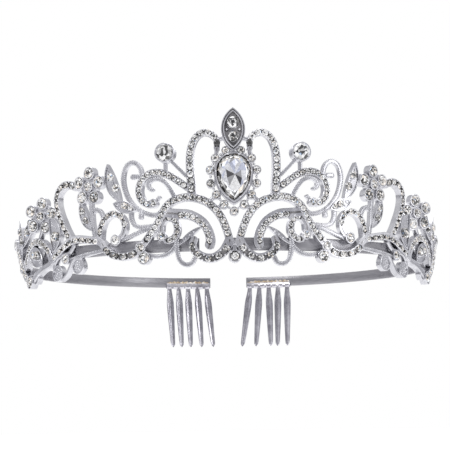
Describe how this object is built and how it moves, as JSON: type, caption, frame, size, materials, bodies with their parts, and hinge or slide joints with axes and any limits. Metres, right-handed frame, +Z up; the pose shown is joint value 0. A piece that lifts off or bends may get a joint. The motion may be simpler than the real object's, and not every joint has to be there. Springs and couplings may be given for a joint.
{
  "type": "bridal tiara",
  "caption": "Open bridal tiara: cast scroll filigree set with stones on a springy steel head band, with a hair comb at each end.",
  "frame": {"origin": "centre of the head band ring, at the middle of the band height, where the head sits", "axes": "+Z up the head, out of the top of the ring; the filigree front faces -Y; +X to the right of a viewer in front"},
  "size_m": [0.1428, 0.1464, 0.0664],
  "materials": {
    "cast_silver": "bright rhodium-plated casting",
    "milgrain_silver": "plated beaded wire, darkened between the beads",
    "band_steel": "satin plated steel strip",
    "comb_steel": "polished stamped sheet",
    "solder": "rough solder with a warm heat stain",
    "crystal": "foil-backed faceted crystal",
    "centre_stone": "foil-backed faceted pear crystal"
  },
  "bodies": {
    "front": {"bottom_stones": "crystal", "centre_casting": "cast_silver", "drop_collet": "cast_silver", "drop_stone": "crystal", "halo_casting": "cast_silver", "halo_stones": "crystal", "left_arc_stones": "crystal", "left_ball_stones": "crystal", "left_curl_wire": "milgrain_silver", "left_end_casting": "cast_silver", "left_end_flower": "cast_silver", "left_end_flower_stones": "crystal", "left_end_stones": "crystal", "left_flower_stones": "crystal", "left_front_band": "band_steel", "left_hook_wire": "milgrain_silver", "left_inner_stones": "crystal", "left_leaf_stones": "crystal", "left_loop_stones": "crystal", "left_lower_wires": "milgrain_silver", "left_petal_stones": "crystal", "left_scroll_stones": "crystal", "left_side_casting": "cast_silver", "left_side_flower": "cast_silver", "left_side_stones": "crystal", "left_tall_collet": "cast_silver", "left_tall_stone": "crystal", "left_vine_wires": "milgrain_silver", "marquise_collet": "cast_silver", "marquise_stones": "crystal", "pear_collet": "cast_silver", "pear_stone": "centre_stone", "right_arc_stones": "crystal", "right_ball_stones": "crystal", "right_curl_wire": "milgrain_silver", "right_end_casting": "cast_silver", "right_end_flower": "cast_silver", "right_end_flower_stones": "crystal", "right_end_stones": "crystal", "right_flower_stones": "crystal", "right_front_band": "band_steel", "right_hook_wire": "milgrain_silver", "right_inner_stones": "crystal", "right_leaf_stones": "crystal", "right_loop_stones": "crystal", "right_lower_wires": "milgrain_silver", "right_petal_stones": "crystal", "right_scroll_stones": "crystal", "right_side_casting": "cast_silver", "right_side_flower": "cast_silver", "right_side_stones": "crystal", "right_tall_collet": "cast_silver", "right_tall_stone": "crystal", "right_vine_wires": "milgrain_silver"},
    "left_arm": {"left_band_arm": "band_steel", "left_comb": "comb_steel", "left_comb_solder": "solder"},
    "right_arm": {"right_band_arm": "band_steel", "right_comb": "comb_steel", "right_comb_solder": "solder"}
  },
  "joints": [
    {"name": "left_arm_flex", "type": "hinge", "parent": "front", "child": "left_arm", "pos_m": [-0.06976, -0.0098, 0], "axis": [0, 0, 1], "range_deg": [-2, 9], "stiffness_Nm_per_rad": 0.6},
    {"name": "right_arm_flex", "type": "hinge", "parent": "front", "child": "right_arm", "pos_m": [0.06976, -0.0098, 0], "axis": [0, 0, -1], "range_deg": [-2, 9], "stiffness_Nm_per_rad": 0.6}
  ]
}
